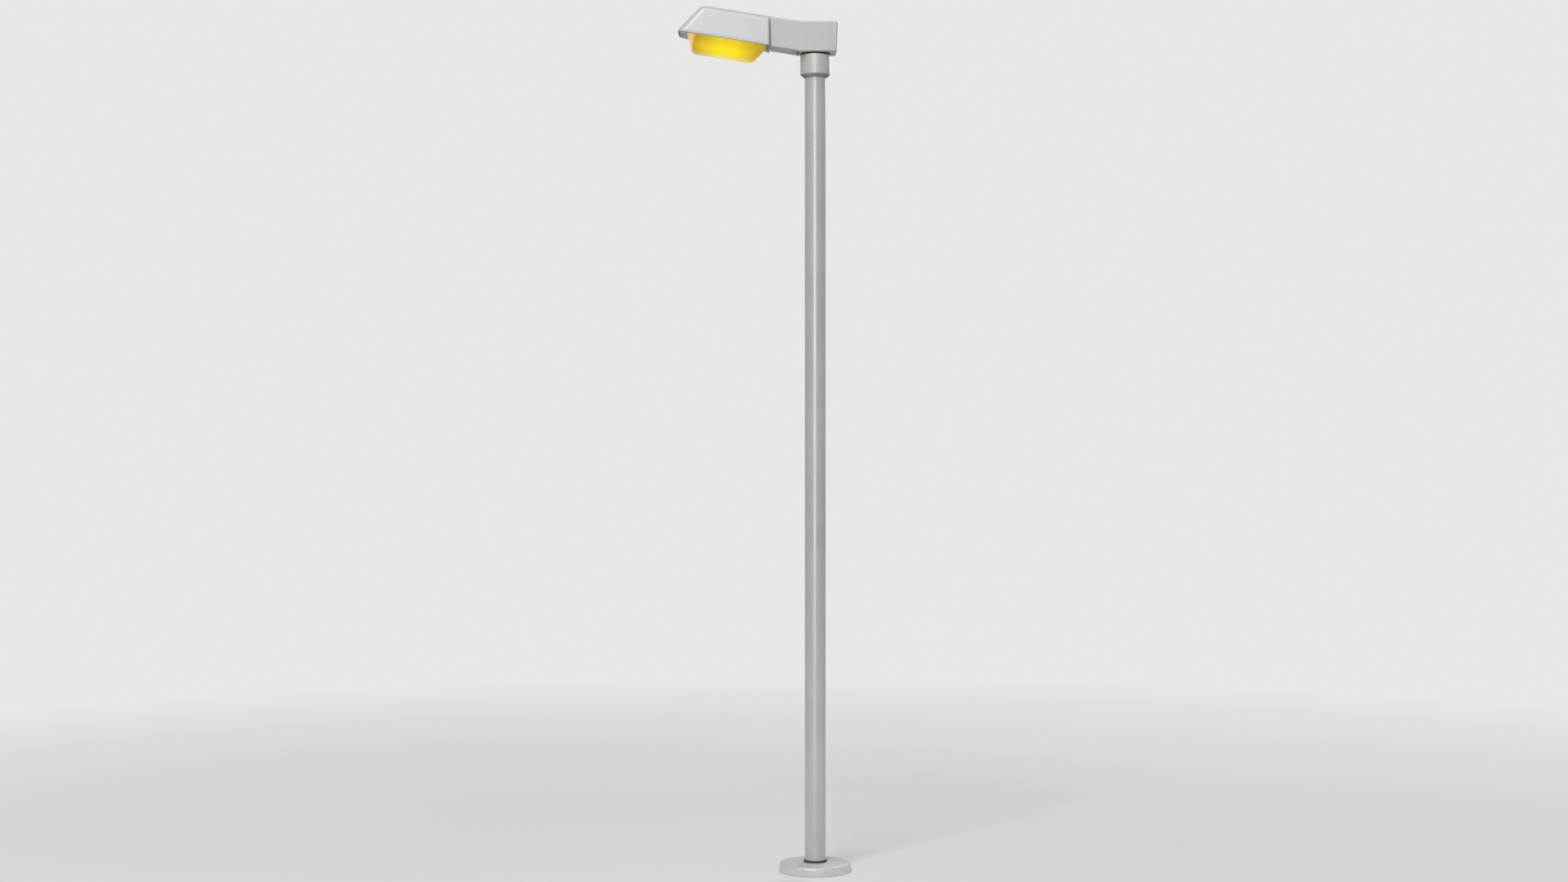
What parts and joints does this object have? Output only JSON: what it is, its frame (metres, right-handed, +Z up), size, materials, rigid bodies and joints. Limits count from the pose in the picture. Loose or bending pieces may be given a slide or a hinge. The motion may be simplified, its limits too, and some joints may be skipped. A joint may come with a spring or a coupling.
{
  "type": "street lamp post",
  "caption": "Straight round steel lamp post on a round foot cover, with a post-top lantern whose hood rises over a moulded bowl.",
  "frame": {"origin": "the post's axis at ground level, on the flange plate's underside", "axes": "+Z up the post, -X towards the lantern's front, +Y towards the service door"},
  "size_m": [0.845, 0.35, 4.2238],
  "materials": {
    "silver_paint": "satin silver-grey paint",
    "hood_paint": "satin silver-grey paint, slightly lighter",
    "cast_paint": "satin silver-grey paint over a casting",
    "zinc": "zinc-plated steel",
    "steel": "plain stainless steel",
    "rubber": "black moulded rubber",
    "bright_aluminium": "polished and anodised",
    "porcelain": "white glazed porcelain",
    "lamp_glass": "thin clear glass, lit from inside",
    "bowl_plastic": "translucent moulded diffuser, lit from inside",
    "brass": "plain brass",
    "black_paint": "black varnish over laminated steel",
    "black_plastic": "black moulded nylon",
    "grey_plastic": "grey moulded plastic",
    "white_plastic": "white moulded plastic",
    "cable_jacket": "black flexible sheath"
  },
  "bodies": {
    "post": {"flange_plate": "zinc", "post_foot": "silver_paint", "post_door_section": "silver_paint", "post_shaft_lower": "silver_paint", "post_shaft_middle": "silver_paint", "post_shaft_upper": "silver_paint", "anchor_bolt_1": "zinc", "anchor_bolt_2": "zinc", "anchor_bolt_3": "zinc", "anchor_bolt_4": "zinc", "door_bridge_top": "zinc", "door_bridge_bottom": "zinc", "equipment_rail": "zinc", "fuse_box": "grey_plastic", "fuse_box_lid": "white_plastic", "riser_gland": "black_plastic", "supply_gland": "black_plastic", "earth_bolt": "brass", "riser_cable": "cable_jacket"},
    "base_cover": {"base_cover": "cast_paint", "cover_seal": "rubber"},
    "door": {"door_plate": "silver_paint"},
    "door_screw_top": {"door_screw_top": "steel"},
    "door_screw_bottom": {"door_screw_bottom": "steel"},
    "fuse_cap": {"fuse_cap": "porcelain"},
    "head": {"mast_collar": "cast_paint", "set_screw_1": "steel", "set_screw_2": "steel", "set_screw_3": "steel", "collar_bolt_1": "zinc", "collar_bolt_2": "zinc", "collar_bolt_3": "zinc", "rear_housing": "cast_paint", "seam_gasket": "rubber", "hood": "hood_paint", "hood_screw_1": "steel", "hood_screw_2": "steel", "reflector": "bright_aluminium", "lampholder_bracket": "zinc", "lampholder": "porcelain", "gear_tray": "zinc", "ballast": "black_paint", "capacitor": "bright_aluminium", "ignitor": "white_plastic", "terminal_block": "porcelain", "cable_clamp": "grey_plastic", "head_lead": "cable_jacket", "gear_lead": "cable_jacket", "lamp_lead": "cable_jacket", "bowl_hinge_pin": "steel", "gear_cover_pin": "steel"},
    "lamp": {"lamp_cap": "brass", "lamp_bulb": "lamp_glass", "arc_tube": "porcelain"},
    "bowl": {"bowl_lens": "bowl_plastic", "bowl_frame": "hood_paint", "bowl_seal": "rubber"},
    "bowl_screw": {"bowl_screw": "steel"},
    "gear_cover": {"gear_cover": "cast_paint"},
    "gear_cover_screw": {"gear_cover_screw": "steel"}
  },
  "joints": [
    {"name": "head_swivel", "type": "hinge", "parent": "post", "child": "head", "pos_m": [0, 0, 3.94], "axis": [0, 0, 1], "range_deg": [-180, 180]},
    {"name": "base_cover_lift", "type": "slide", "parent": "post", "child": "base_cover", "axis": [0, 0, 1], "range_m": [0, 0.35]},
    {"name": "door_pull", "type": "slide", "parent": "post", "child": "door", "axis": [0, 1, 0], "range_m": [0, 0.12]},
    {"name": "door_screw_top_turn", "type": "hinge", "parent": "door", "child": "door_screw_top", "pos_m": [0, 0.054, 0.875], "axis": [0, 1, 0], "continuous": true},
    {"name": "door_screw_bottom_turn", "type": "hinge", "parent": "door", "child": "door_screw_bottom", "pos_m": [0, 0.054, 0.625], "axis": [0, 1, 0], "continuous": true},
    {"name": "fuse_cap_turn", "type": "hinge", "parent": "post", "child": "fuse_cap", "pos_m": [0, 0.01, 0.775], "axis": [0, 1, 0], "continuous": true},
    {"name": "bowl_swing", "type": "hinge", "parent": "head", "child": "bowl", "pos_m": [-0.23208, 0, 4.03132], "axis": [0, -1, 0], "range_deg": [0, 95]},
    {"name": "bowl_screw_turn", "type": "hinge", "parent": "bowl", "child": "bowl_screw", "pos_m": [-0.64846, 0, 4.09369], "axis": [0.1599, 0, 0.9871], "continuous": true},
    {"name": "gear_cover_swing", "type": "hinge", "parent": "head", "child": "gear_cover", "pos_m": [-0.08507, 0, 4.007], "axis": [0, -1, 0], "range_deg": [0, 95]},
    {"name": "gear_cover_screw_turn", "type": "hinge", "parent": "gear_cover", "child": "gear_cover_screw", "pos_m": [-0.20524, 0, 4.0219], "axis": [0.1599, 0, 0.9871], "continuous": true},
    {"name": "lamp_unscrew", "type": "hinge", "parent": "head", "child": "lamp", "pos_m": [-0.30879, 0, 4.08933], "axis": [0.9871, 0, -0.1599], "continuous": true}
  ]
}
